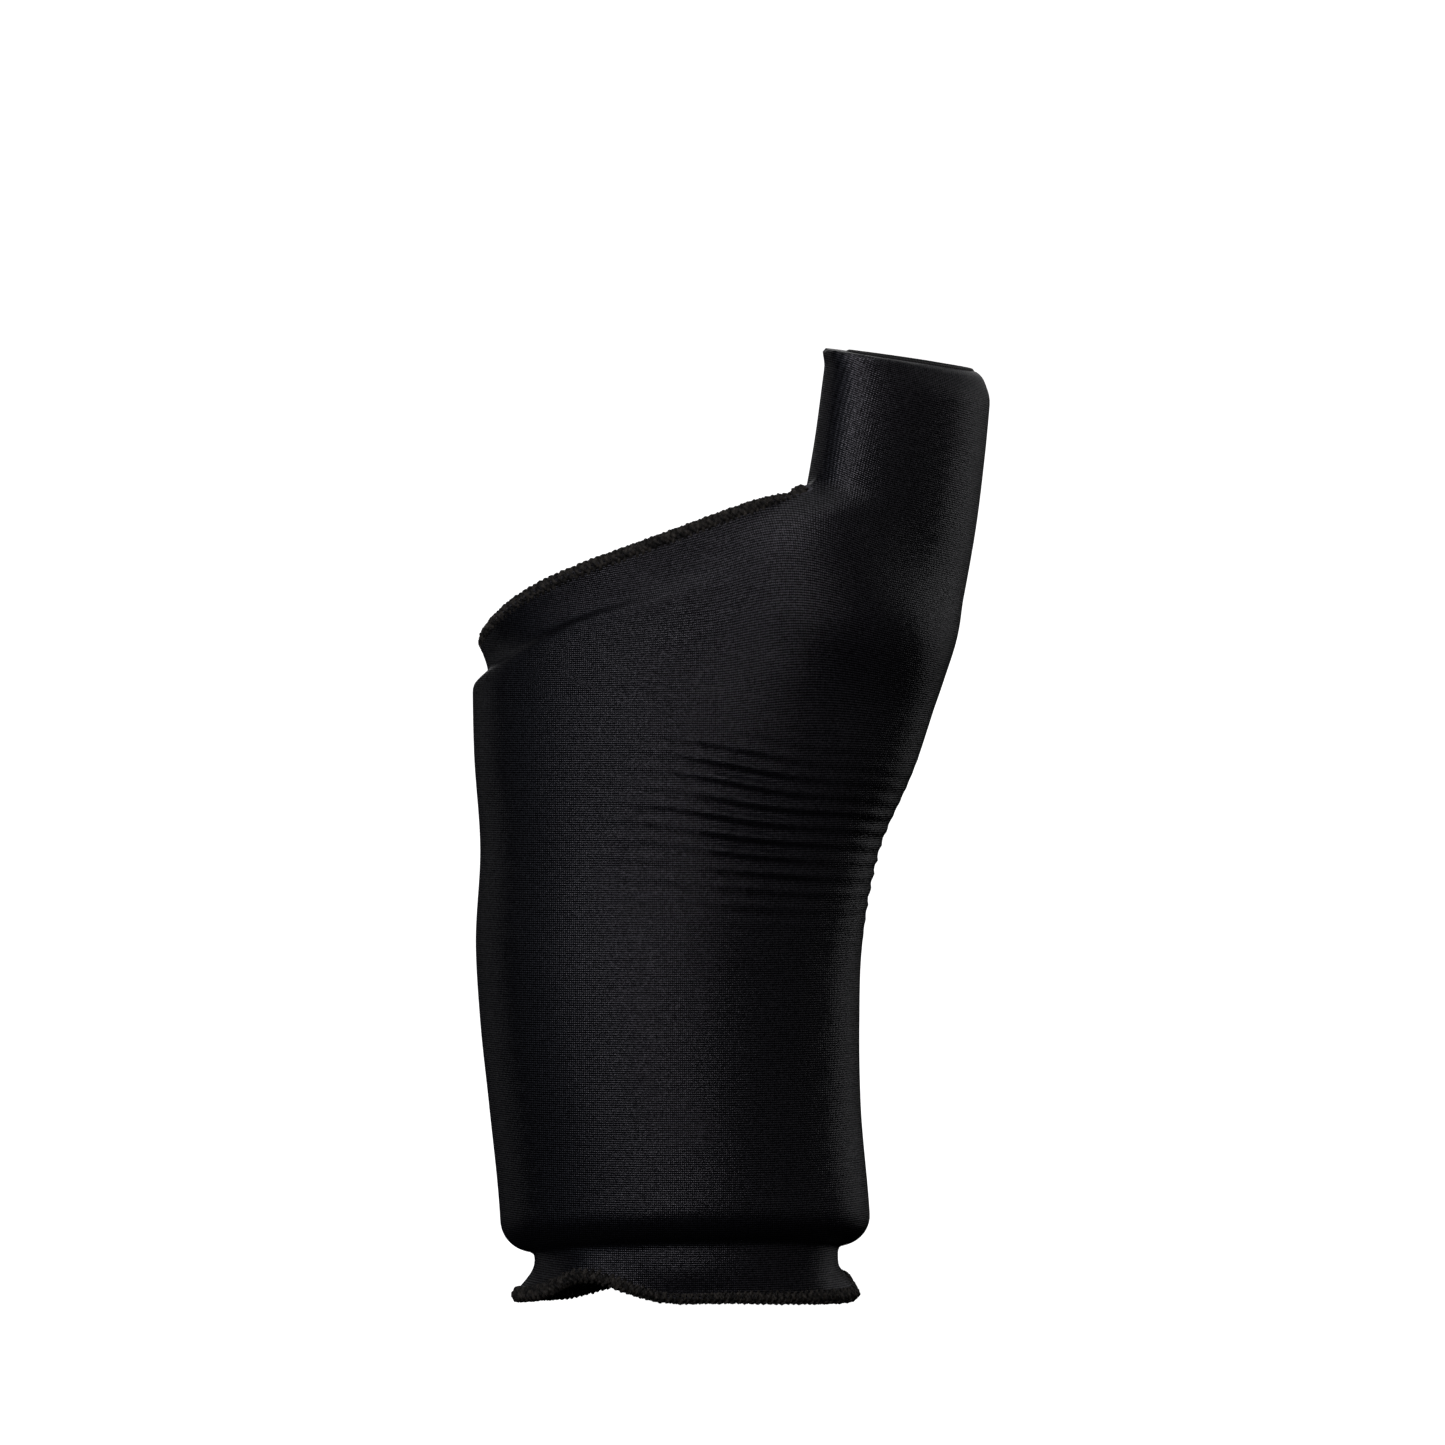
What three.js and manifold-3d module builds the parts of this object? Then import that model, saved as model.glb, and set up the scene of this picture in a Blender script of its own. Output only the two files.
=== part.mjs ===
// Slip-on support brace for a left wrist and thumb: two knitted layers with a soft padding core between.
// Millimetres. +Z runs from the forearm to the fingers, +X to the thumb side, -Y to the back of the hand.
// The origin is the centre of the forearm opening.
import * as THREE from "three";
import { mergeVertices } from "three/addons/utils/BufferGeometryUtils.js";
import Module from "manifold-3d";

const wasm = await Module();
wasm.setup();

// Layers. A depth is measured inwards from the outer face of the padded sleeve.
const FABRIC = 0.9;
const GAP = 0.3;
const ARM_PAD = 5.4;
const THUMB_PAD = 3.3;
const CORE_DEPTH = FABRIC + GAP;
const ARM_DEPTHS = layerDepths(ARM_PAD);
const THUMB_DEPTHS = layerDepths(THUMB_PAD);

// Outer sections of the arm tube: height, little-finger edge x, thumb edge x, back depth, palm depth.
const ARM = [
  [0, -34.0, 33.6, 25.7, 27.0],
  [15, -34.4, 33.6, 26.2, 27.0],
  [37, -36.5, 32.0, 26.4, 26.8],
  [65, -38.9, 32.2, 25.4, 26.2],
  [83, -38.1, 35.4, 24.4, 26.4],
  [102, -39.3, 43.1, 23.8, 27.8],
  [120, -39.4, 43.5, 23.0, 27.0],
  [138, -39.0, 31.5, 21.5, 24.0],
  [156, -38.0, 22.5, 20.0, 21.5],
];

// Outer sections of the thumb tube: height, centre x, centre y, half width, half depth.
const THUMB = [
  [90, 18.0, 3.0, 16.0, 14.5],
  [101, 24.6, 3.0, 17.8, 16.8],
  [111, 28.0, 2.6, 18.0, 17.5],
  [120, 30.9, 2.2, 17.8, 17.2],
  [139, 36.6, 1.8, 16.5, 16.0],
  [157, 39.6, 2.2, 15.6, 15.0],
  [176, 42.1, 3.1, 14.9, 13.7],
];

// The padding ends short of both arm openings in a round shoulder, and the fabrics run on as a thin edge.
const PAD_ROUND = 5;
const WRIST_PAD_START = 10;
const HAND_PAD_END = 8;
const FLANGE = 0.5; // how far the cover runs past the padding's end
const LINING_SHORT = 0.8; // how far the lining stops before it
const CUFF_FLARE = { out: 3.6, length: 7 };
const RIM_FLARE = { out: 4, length: 12 };

// Hand opening: a slanted plane, highest at the thumb and on the back of the hand.
const RIM = { height: 136.6, acrossSlope: 0.39, depthSlope: -0.35 };
const RIM_SECTION = { height: 132, depth: 4 };

// Thumb opening: a plane square to the thumb, with a lip that leans out towards the hand.
const THUMB_RIM = { height: 174.2, x: 41.5, acrossSlope: -0.16, depthSlope: 0.08 };
const THUMB_ROUND = 3.2;
const THUMB_LIP = { out: 1.6, length: 5 };
const HEM_HEIGHT = 1.2;

// Sewn edges and seams.
const EDGE_HEIGHT = 2.5;
const EDGE_HALF_WIDTH = 1.3;
const SEAM = { halfWidth: 1.6, height: 0.6 };
const ARM_SEAM = { angle: 2.53, tubeRadius: 36, clear: 1, rows: 5 };
const THUMB_SEAM = { angle: 1.7, tubeRadius: 15, low: 142, below: 6, rows: 3 };

// Waves of the stretched cuff edge: angle, rise and angular width of each.
const CUFF_WAVES = [
  [-2.4, 3.6, 0.35],
  [-0.2, 1.4, 0.3],
  [1.0, 2.4, 0.35],
  [2.2, 2.8, 0.35],
];

const WRIST_HEIGHT = 80; // where the forearm pad meets the hand pad
const THUMB_SPLIT = 150; // where the hand pad meets the thumb pad

const ARM_SIDES = 28;
const THUMB_SIDES = 16;
const BEAD_SIDES = 6;
const MIDDLE_ROWS = 4;
const PAST_END = 0.8; // how far a cutting shape runs past what it cuts
const ROUND_STEPS = [0, 0.134, 0.5, 1]; // a quarter turn in steps of thirty degrees

function layerDepths(pad) {
  const coreInner = CORE_DEPTH + pad;
  const lining = coreInner + GAP;
  return { drop: pad + GAP, coreInner, lining, cavity: lining + FABRIC };
}

// A smooth curve through one column of a table of sections.
function column(table, z, index) {
  const last = table.length - 2;
  const above = table.findIndex((row) => row[0] > z);
  const i = above < 0 ? last : Math.max(above - 1, 0);
  const slope = (k) => {
    const a = table[Math.max(k - 1, 0)];
    const b = table[Math.min(k + 1, table.length - 1)];
    return (b[index] - a[index]) / (b[0] - a[0]);
  };
  const [from, to] = [table[i], table[i + 1]];
  const span = to[0] - from[0];
  const t = (z - from[0]) / span;
  if (t < 0) return from[index] + slope(i) * t * span;
  if (t > 1) return to[index] + slope(i + 1) * (t - 1) * span;
  const blend = t * t * (3 - 2 * t);
  const bend = slope(i) * t * (1 - t) * (1 - t) - slope(i + 1) * t * t * (1 - t);
  return from[index] * (1 - blend) + to[index] * blend + span * bend;
}

const clamp01 = (t) => Math.min(Math.max(t, 0), 1);

function smooth(t) {
  const s = clamp01(t);
  return s * s * (3 - 2 * s);
}

// How far a layer drops at a rounded pad end, by its distance into the pad.
function roundEnd(distance, radius, drop) {
  const t = clamp01(distance / radius);
  return drop * (1 - Math.sqrt(1 - (1 - t) ** 2));
}

// A point of the arm tube at an angle, a depth below its outer face and a height.
function armPoint(angle, depth, z) {
  const low = column(ARM, z, 1) + depth;
  const high = column(ARM, z, 2) - depth;
  const through = column(ARM, z, Math.sin(angle) < 0 ? 3 : 4) - depth;
  const x = (low + high) / 2 + ((high - low) / 2) * Math.cos(angle);
  return new THREE.Vector3(x, through * Math.sin(angle), z);
}

// A point of the thumb tube, likewise.
function thumbPoint(angle, depth, z) {
  const x = column(THUMB, z, 1) + (column(THUMB, z, 3) - depth) * Math.cos(angle);
  const y = column(THUMB, z, 2) + (column(THUMB, z, 4) - depth) * Math.sin(angle);
  return new THREE.Vector3(x, y, z);
}

// Heights of the cuff edge and of the two other openings, round the tubes.
function cuffHeight(angle) {
  const turn = (centre) => Math.atan2(Math.sin(angle - centre), Math.cos(angle - centre));
  const wave = ([centre, rise, width]) => rise * Math.exp(-((turn(centre) / width) ** 2));
  return CUFF_WAVES.reduce((sum, each) => sum + wave(each), 0);
}

function rimHeight(angle) {
  const p = armPoint(angle, RIM_SECTION.depth, RIM_SECTION.height);
  return RIM.height + RIM.acrossSlope * p.x + RIM.depthSlope * p.y;
}

function thumbRimHeight(angle) {
  const p = thumbPoint(angle, 0, THUMB_RIM.height);
  return THUMB_RIM.height + THUMB_RIM.acrossSlope * (p.x - THUMB_RIM.x) + THUMB_RIM.depthSlope * p.y;
}

// How far the thin edges flare outwards.
function flare(angle, z) {
  const low = CUFF_FLARE.out * (1 - smooth((z - cuffHeight(angle)) / CUFF_FLARE.length));
  const high = RIM_FLARE.out * (1 - smooth((rimHeight(angle) - z) / RIM_FLARE.length));
  return low + high;
}

function thumbLip(angle, z) {
  const facing = (1 - Math.cos(angle)) / 2;
  return THUMB_LIP.out * facing * (1 - smooth((thumbRimHeight(angle) - z) / THUMB_LIP.length));
}

const plainDepth = (angle, depth, z) => depth - flare(angle, z);
const edgeDepth = (angle, depth, z) => ARM_DEPTHS.drop + depth - flare(angle, z);

// Depth of a layer that drops round the ends of the padding.
function paddedDepth(angle, depth, z) {
  const radius = PAD_ROUND - depth;
  const atWrist = roundEnd(z - WRIST_PAD_START - depth, radius, ARM_DEPTHS.drop);
  const atHand = roundEnd(rimHeight(angle) - HAND_PAD_END - depth - z, radius, ARM_DEPTHS.drop);
  return depth + Math.max(atWrist, atHand) - flare(angle, z);
}

const plainThumbDepth = (angle, depth, z) => depth - thumbLip(angle, z);

function paddedThumbDepth(angle, depth, z) {
  const distance = thumbRimHeight(angle) - HEM_HEIGHT - GAP - depth - z;
  return depth + roundEnd(distance, THUMB_ROUND - depth, THUMB_DEPTHS.drop) - thumbLip(angle, z);
}

// Turns closed three.js geometry, with its vertices already placed, into a solid.
function toSolid(geometry) {
  const bare = new THREE.BufferGeometry().setIndex(geometry.index);
  bare.setAttribute("position", geometry.attributes.position);
  const merged = mergeVertices(bare, 1e-3);
  const vertProperties = new Float32Array(merged.attributes.position.array);
  const triVerts = new Uint32Array(merged.index.array);
  return new wasm.Manifold(new wasm.Mesh({ numProp: 3, vertProperties, triVerts }));
}

function place(geometry, pointOf) {
  const position = geometry.attributes.position;
  const p = new THREE.Vector3();
  for (let i = 0; i < position.count; i++) {
    p.fromBufferAttribute(position, i);
    const placed = pointOf(p);
    position.setXYZ(i, placed.x, placed.y, placed.z);
  }
  return toSolid(geometry);
}

// A solid tube made from a unit cylinder. heights(angle) lists the height of each row, lowest first.
function tubeSolid(sides, heights, pointOf) {
  const rows = heights(0).length;
  const unit = new THREE.CylinderGeometry(1, 1, 1, sides, rows - 1).rotateX(Math.PI / 2);
  return place(unit, (p) => {
    const row = Math.round((p.z + 0.5) * (rows - 1));
    const angle = Math.atan2(p.y, p.x);
    if (Math.hypot(p.x, p.y) > 0.5) return pointOf(angle, heights(angle)[row]);
    const near = pointOf(0, heights(0)[row]);
    return near.add(pointOf(Math.PI, heights(Math.PI)[row])).multiplyScalar(0.5);
  });
}

// A stretch of the arm tube. Its rows are heights from the wrist end and distances below the hand opening.
function armSolid(depthOf, depth, low, below) {
  const heights = (angle) => {
    const high = below.map((h) => rimHeight(angle) - h).reverse();
    const start = low.at(-1);
    const step = (high[0] - start) / (MIDDLE_ROWS + 1);
    const middle = Array.from({ length: MIDDLE_ROWS }, (_, i) => start + step * (i + 1));
    return [...low, ...middle, ...high];
  };
  return tubeSolid(ARM_SIDES, heights, (angle, z) => armPoint(angle, depthOf(angle, depth, z), z));
}

// The thumb tube, from inside the arm tube up to a distance below the thumb opening.
function thumbSolid(depthOf, depth, below) {
  const start = THUMB[0][0];
  const heights = (angle) => {
    const high = below.map((h) => thumbRimHeight(angle) - h).reverse();
    const step = (high[0] - start) / MIDDLE_ROWS;
    const middle = Array.from({ length: MIDDLE_ROWS }, (_, i) => start + step * i);
    return [...middle, ...high];
  };
  return tubeSolid(THUMB_SIDES, heights, (angle, z) => thumbPoint(angle, depthOf(angle, depth, z), z));
}

const roundRows = (start, depth, radius) =>
  ROUND_STEPS.map((step) => start + depth + (radius - depth) * step);
const plainRows = (start) => ROUND_STEPS.slice(2).map((step) => start + PAD_ROUND * step);

// The whole sleeve at one layer: the arm tube joined to the thumb tube.
function paddedBody(depth, flange, thumbTop) {
  const low = [WRIST_PAD_START - flange, ...roundRows(WRIST_PAD_START, depth, PAD_ROUND)];
  const below = [HAND_PAD_END - flange, ...roundRows(HAND_PAD_END, depth, PAD_ROUND)];
  const thumbRows = [thumbTop, ...roundRows(HEM_HEIGHT + GAP, depth, THUMB_ROUND)];
  const arm = armSolid(paddedDepth, depth, low, below);
  return arm.add(thumbSolid(paddedThumbDepth, depth, thumbRows));
}

// The same shape with its ends left open and square, for the layers inside the padding.
function plainBody(armDepth, thumbDepth, flange, thumbTop) {
  const low = [WRIST_PAD_START - flange, ...plainRows(WRIST_PAD_START)];
  const below = [HAND_PAD_END - flange, ...plainRows(HAND_PAD_END)];
  const thumbRows = [thumbTop, THUMB_ROUND + HEM_HEIGHT + GAP];
  const arm = armSolid(plainDepth, armDepth, low, below);
  return arm.add(thumbSolid(plainThumbDepth, thumbDepth, thumbRows));
}

function outerCover() {
  const outside = paddedBody(0, FLANGE, HEM_HEIGHT + GAP / 2);
  return outside.subtract(paddedBody(FABRIC, FLANGE + PAST_END, 0));
}

function innerLining() {
  const outside = plainBody(ARM_DEPTHS.lining, THUMB_DEPTHS.lining, -LINING_SHORT, HEM_HEIGHT + GAP);
  return outside.subtract(plainBody(ARM_DEPTHS.cavity, THUMB_DEPTHS.cavity, FLANGE + PAST_END, 0));
}

function paddingCore() {
  const outside = paddedBody(CORE_DEPTH, -CORE_DEPTH + GAP, HEM_HEIGHT + GAP + CORE_DEPTH - GAP);
  return outside.subtract(plainBody(ARM_DEPTHS.coreInner, THUMB_DEPTHS.coreInner, FLANGE, 0));
}

// A flat ring round the arm tube, past the padding, where the two fabrics lie together.
function edgeRing(low, high) {
  const fabrics = FABRIC * 2 + GAP;
  const rectangle = 4;
  const unit = new THREE.TorusGeometry(1, 0.5, rectangle, ARM_SIDES);
  return place(unit, (p) => {
    const angle = Math.atan2(p.y, p.x);
    const corner = Math.round(Math.atan2(p.z, Math.hypot(p.x, p.y) - 1) / (Math.PI / 2));
    const depth = corner === 0 || corner === 1 ? 0 : fabrics;
    const z = corner === 1 || Math.abs(corner) === 2 ? high(angle) : low(angle);
    return armPoint(angle, edgeDepth(angle, depth, z), z);
  });
}

// A sewn bead round a tube. height(angle) is its centre; depth is below the padded face at that height.
function bead(sides, pointOf, depthOf, depth, height, halfWidth, halfHeight) {
  const ring = new THREE.TorusGeometry(1, 0.5, BEAD_SIDES, sides);
  return place(ring, (p) => {
    const angle = Math.atan2(p.y, p.x);
    const round = Math.atan2(p.z, Math.hypot(p.x, p.y) - 1);
    const z = height(angle);
    const at = depthOf(angle, depth, z) - halfWidth * Math.cos(round);
    return pointOf(angle, at, z).setZ(z + halfHeight * Math.sin(round));
  });
}

// A raised seam that runs along a tube at a fixed angle, between two heights.
function seam(pointOf, depthOf, { angle, tubeRadius, rows }, low, high) {
  const columns = 2;
  const unit = new THREE.BoxGeometry(1, 1, 1, columns, 1, rows);
  const width = (2 * SEAM.halfWidth) / tubeRadius;
  return place(unit, (p) => {
    const a = angle - width * p.x;
    const z = low(a) + (high(a) - low(a)) * (p.z + 0.5);
    const depth = p.y > 0 ? -GAP - SEAM.height : -GAP;
    return pointOf(a, depthOf(a, depth, z), z);
  });
}

// Half of space above a level plane, for dividing the padding.
function above(height) {
  const size = 400;
  return toSolid(new THREE.BoxGeometry(size, size, size).translate(0, 0, height + size / 2));
}

function toMesh(name, solid, material) {
  const { vertProperties, triVerts } = solid.getMesh();
  const geometry = new THREE.BufferGeometry();
  geometry.setAttribute("position", new THREE.BufferAttribute(vertProperties, 3));
  geometry.setIndex(new THREE.BufferAttribute(triVerts, 1));
  geometry.computeVertexNormals();
  const made = new THREE.Mesh(geometry, material);
  made.name = name;
  return made;
}

const black = { color: 0x1a1b1e, roughness: 0.85, metalness: 0 };
const materials = {
  knit: new THREE.MeshStandardMaterial({ ...black, name: "knit" }),
  lining: new THREE.MeshStandardMaterial({ ...black, color: 0x26272b, name: "lining" }),
  padding: new THREE.MeshStandardMaterial({ ...black, color: 0x3a3b40, name: "padding" }),
  thread: new THREE.MeshStandardMaterial({ ...black, color: 0x111214, name: "thread" }),
};

const core = paddingCore();
const aboveWrist = core.intersect(above(WRIST_HEIGHT + GAP / 2));
const thumbClearance = thumbSolid(paddedThumbDepth, -GAP, [0]);
const fabricMiddle = (FABRIC * 2 + GAP) / 2;
const edgeMiddle = EDGE_HEIGHT / 2;
const edgeTop = EDGE_HEIGHT + GAP;
const edgeBead = (height) =>
  bead(ARM_SIDES, armPoint, edgeDepth, fabricMiddle, height, EDGE_HALF_WIDTH, edgeMiddle);

const cuffEnd = WRIST_PAD_START - FLANGE - GAP;
const wristCuff = edgeRing((a) => cuffHeight(a) + edgeTop, () => cuffEnd);
const bandEnd = HAND_PAD_END - FLANGE - 2 * GAP;
const wholeBand = edgeRing((a) => rimHeight(a) - bandEnd, (a) => rimHeight(a) - edgeTop);
const handBand = wholeBand.subtract(thumbClearance);

const wristEdge = edgeBead((a) => cuffHeight(a) + edgeMiddle);
const handEdge = edgeBead((a) => rimHeight(a) - edgeMiddle).subtract(thumbClearance);

const hemDepth = (THUMB_DEPTHS.drop + THUMB_DEPTHS.cavity) / 2;
const hemHalfWidth = (THUMB_DEPTHS.cavity - THUMB_DEPTHS.drop) / 2;
const hemHeight = (a) => thumbRimHeight(a) - HEM_HEIGHT / 2;
const thumbHem = bead(
  THUMB_SIDES, thumbPoint, plainThumbDepth, hemDepth, hemHeight, hemHalfWidth, HEM_HEIGHT / 2,
);

const armSeamInset = PAD_ROUND + ARM_SEAM.clear;
const armSeamLow = () => WRIST_PAD_START + armSeamInset;
const armSeamHigh = (a) => rimHeight(a) - HAND_PAD_END - armSeamInset;
const armSeam = seam(armPoint, plainDepth, ARM_SEAM, armSeamLow, armSeamHigh);
const thumbSeamLow = () => THUMB_SEAM.low;
const thumbSeamHigh = (a) => thumbRimHeight(a) - THUMB_SEAM.below;
const thumbSeam = seam(thumbPoint, plainThumbDepth, THUMB_SEAM, thumbSeamLow, thumbSeamHigh);

const brace = new THREE.Group();
brace.add(toMesh("outer_cover", outerCover(), materials.knit));
brace.add(toMesh("inner_lining", innerLining(), materials.lining));
brace.add(toMesh("wrist_cuff", wristCuff, materials.knit));
brace.add(toMesh("hand_band", handBand, materials.knit));
brace.add(toMesh("forearm_pad", core.subtract(above(WRIST_HEIGHT - GAP / 2)), materials.padding));
brace.add(toMesh("hand_pad", aboveWrist.subtract(above(THUMB_SPLIT - GAP / 2)), materials.padding));
brace.add(toMesh("thumb_pad", core.intersect(above(THUMB_SPLIT + GAP / 2)), materials.padding));
brace.add(toMesh("wrist_edge_stitching", wristEdge, materials.thread));
brace.add(toMesh("hand_edge_stitching", handEdge, materials.thread));
brace.add(toMesh("thumb_hem", thumbHem, materials.knit));
brace.add(toMesh("closing_seam", armSeam, materials.thread));
brace.add(toMesh("thumb_seam", thumbSeam, materials.thread));

export default brace;
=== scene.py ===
"""A slip-on support brace for a left wrist and thumb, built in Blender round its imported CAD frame.

The sleeve is worked out in millimetres as distances to its two tubes, one for the arm and one for the
thumb. Each layer is the surface where such a distance is zero. It is meshed on a grid, cut at the
openings and coloured by node materials. +Z runs to the fingers, +X to the thumb and -Y out of the back
of the hand.
"""

import math

import bpy
import numpy as np
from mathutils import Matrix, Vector


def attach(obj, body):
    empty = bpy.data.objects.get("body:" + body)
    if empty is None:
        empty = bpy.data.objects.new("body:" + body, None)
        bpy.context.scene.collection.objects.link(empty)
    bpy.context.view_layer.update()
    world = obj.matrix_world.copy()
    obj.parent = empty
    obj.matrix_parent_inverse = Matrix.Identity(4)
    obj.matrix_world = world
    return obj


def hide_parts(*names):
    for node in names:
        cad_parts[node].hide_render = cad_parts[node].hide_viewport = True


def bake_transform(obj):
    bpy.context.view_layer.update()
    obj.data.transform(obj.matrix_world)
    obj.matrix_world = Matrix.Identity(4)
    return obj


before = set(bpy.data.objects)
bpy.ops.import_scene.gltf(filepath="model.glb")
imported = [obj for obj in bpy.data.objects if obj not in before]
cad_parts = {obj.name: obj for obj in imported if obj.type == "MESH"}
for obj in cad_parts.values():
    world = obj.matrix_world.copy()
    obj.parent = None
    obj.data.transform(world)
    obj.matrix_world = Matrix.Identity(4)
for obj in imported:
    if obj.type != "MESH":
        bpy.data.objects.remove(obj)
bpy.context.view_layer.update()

MM = 0.001

# Outer sections of the arm tube: height, little-finger edge x, thumb edge x, back-of-hand depth, palm depth.
ARM = np.array(
    [
        [0, -34.0, 34.2, 25.7, 27.0],
        [15, -34.4, 34.1, 26.2, 27.0],
        [37, -36.5, 32.3, 26.4, 26.8],
        [52, -38.2, 32.1, 25.9, 26.5],
        [66, -39.0, 32.5, 25.4, 26.2],
        [84, -38.2, 35.9, 24.4, 26.4],
        [102, -39.3, 43.0, 23.8, 27.8],
        [120, -39.6, 42.5, 23.2, 27.2],
        [138, -39.0, 31.5, 21.8, 24.4],
        [156, -38.0, 22.5, 20.0, 21.5],
    ],
    float,
)

# Outer sections of the thumb tube: height, centre x, centre y, half width, half depth.
THUMB = np.array(
    [
        [86, 15.0, 3.0, 14.0, 13.0],
        [101, 24.0, 3.0, 17.7, 16.6],
        [111, 28.1, 2.6, 18.2, 17.4],
        [120, 31.1, 2.2, 17.9, 17.0],
        [139, 36.4, 1.8, 16.9, 15.7],
        [157, 39.4, 2.2, 16.2, 14.6],
        [176, 41.7, 3.1, 15.8, 13.5],
    ],
    float,
)

# How far the thumb's section leans, and where the arm's section turns squarer towards the web.
THUMB_LEAN = {"amount": 0.46, "z": 112, "rise": 30}
WEB_SQUARE = {"extra": 1.3, "z": 108, "rise": 26, "x": -6, "reach": 22}

FABRIC = 0.9
ARM_WALL = 7.8  # from the outer face to the skin side of the lining
THUMB_WALL = 5.7
EDGE_WALL = 1.95  # where the two fabrics lie together
THREAD_ROOM = 1.2  # how far the fabric stops short of a sewn edge

# "across" and "depth" are how much a height changes with x and with y.
WRIST_END = {"height": 10.2, "across": 0.02, "depth": -0.15, "drop": 6.1, "radius": 5.6, "crease": 1.4}
HAND_END = {"drop": 2.8, "length": 2.3, "web_length": 7.0, "band": 6.9, "band_front": 2.1, "spread": 15.0}
HAND_LIP = {"out": 1.5, "length": 7.0}
RIM = {"height": 136.6, "across": 0.39, "depth": -0.35, "cap": 0.8}
RIM_LIFT = {"height": 1.4, "x": -6, "reach": 26}
THUMB_RIM = {"height": 174.4, "x": 41.5, "across": -0.16, "depth": 0.08}
THUMB_TOP = {"drop": 1.6, "radius": 1.9, "lip": 0.7, "opening": 3.0, "wall": 4.2, "funnel": 8.0}
THUMB_SPLIT = 153.0

# Waves of the stretched cuff edge: angle, rise, extra flare and angular width of each.
CUFF_EDGE = {"flare": 1.7, "length": 8.0, "depth": -0.075}
CUFF_WAVES = [
    (-3.1, 0.3, 2.6, 0.38),
    (-2.26, 4.0, 1.2, 0.35),
    (-1.5, 0.0, -3.4, 0.75),
    (-1.2, 0.2, 0.3, 0.30),
    (0.0, 0.2, 2.0, 0.22),
    (0.38, 3.4, 2.0, 0.24),
    (1.25, 0.6, 0.2, 0.30),
    (1.95, 2.8, 1.2, 0.34),
    (2.6, 0.4, 0.6, 0.30),
]

RIPPLES = {"pitch": 3.05, "depth": 1.15, "x": 16.0, "z": 88.0, "reach_x": 22.0, "reach_z": 15.5}
RIPPLE_SLOPE = {"patch": 0.12, "folds": 0.11, "fan": 0.004, "x": 20.0}

EDGE_THREAD = {"radius": 0.36, "pitch": 3.5, "strands": 3, "weave": 0.24}

COVER_GRID = 0.84
LINING_GRID = 1.15
PAD_GRID = 1.7
COVER_BOX = ((-48, -34, -5), (63, 36, 179))
COURSE = 0.41
WALE = 0.37
KNIT_TURN = {"hand": 0.30, "thumb": 0.2, "z": 108, "rise": 45}

# Points round each opening, and the middle of each opening.
ARM_LOOP = 460
THUMB_LOOP = 260
WRIST_MIDDLE = (0, 0, 1)
HAND_MIDDLE = (-6, 0, 135)
THUMB_MIDDLE = (42, 1, 174)

# Rise of each sewn edge's middle line and radius of its core. The hand edge is finer along the web.
WRIST_CORD = {"rise": 0.1, "core": 1.05}
HAND_CORD = {"rise": 0.35, "core": 1.02, "finer": 0.36, "x": 12, "reach": 10}
HEM_RADIUS = 0.62

PADS = [("forearm_padding", 6.0, 79.8), ("hand_padding", 80.2, 149.8), ("thumb_padding", 150.2, 172.0)]

# Flat seams: place round the tube, lowest and highest point, half width and height.
ARM_SEAM = {"angle": 2.53, "low": 15.5, "high": 107.0, "half_width": 1.6, "height": 0.6}
THUMB_SEAM = {"angle": 1.7, "low": 142.0, "high": 168.0, "half_width": 1.3, "height": 0.5}
SEAM_STEP = 0.35


# ---- Distances ---------------------------------------------------------------------------------


def smooth(t):
    t = np.clip(t, 0.0, 1.0)
    return t * t * (3.0 - 2.0 * t)


def softest(a, b, k):
    """The lower of two distances, with a fillet about k wide where they meet."""
    h = np.clip(0.5 + 0.5 * (b - a) / k, 0.0, 1.0)
    return b * (1 - h) + a * h - k * h * (1 - h)


def rounded_corner(a, b, radius):
    """Inside both a and b, with their corner rounded off."""
    p, q = a + radius, b + radius
    return np.hypot(np.maximum(p, 0), np.maximum(q, 0)) + np.minimum(np.maximum(p, q), 0) - radius


def section_curves(table):
    """Each column of a table of sections as a smooth curve over height."""
    z = table[:, 0]
    fine = np.arange(z[0] - 20, z[-1] + 20, 0.25)
    i = np.clip(np.searchsorted(z, fine, side="right") - 1, 0, len(z) - 2)
    span = z[i + 1] - z[i]
    t = np.clip((fine - z[i]) / span, 0, 1)
    past = fine - np.clip(fine, z[0], z[-1])
    rise = t * t * (3 - 2 * t)
    curves = []
    for column in table.T[1:]:
        slope = np.gradient(column, z)
        bend = slope[i] * t * (1 - t) ** 2 - slope[i + 1] * t * t * (1 - t)
        end_slope = np.where(past < 0, slope[0], slope[-1])
        curves.append(column[i] * (1 - rise) + column[i + 1] * rise + span * bend + end_slope * past)
    return fine, curves


ARM_CURVES = section_curves(ARM)
THUMB_CURVES = section_curves(THUMB)


def at_height(curves, z):
    return [np.interp(z, curves[0], curve) for curve in curves[1]]


def oval_distance(x, y, half_x, half_y, power=2.0):
    """Distance to an oval section: an ellipse at power 2, squarer above that."""
    u, v = np.abs(x / half_x) + 1e-6, np.abs(y / half_y) + 1e-6
    q = (u**power + v**power) ** (1 / power)
    slope = np.hypot((u / q) ** (power - 1) / half_x, (v / q) ** (power - 1) / half_y)
    return (q - 1) / slope


def arm_distance(p):
    x, y, z = p
    little, thumb_side, back, palm = at_height(ARM_CURVES, z)
    half_y = np.where(y < 0, back, palm)
    near_web = smooth((z - WEB_SQUARE["z"]) / WEB_SQUARE["rise"])
    near_web = near_web * smooth((x - WEB_SQUARE["x"]) / WEB_SQUARE["reach"])
    power = 2.0 + WEB_SQUARE["extra"] * near_web
    return oval_distance(x - (little + thumb_side) / 2, y, (thumb_side - little) / 2, half_y, power)


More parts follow.
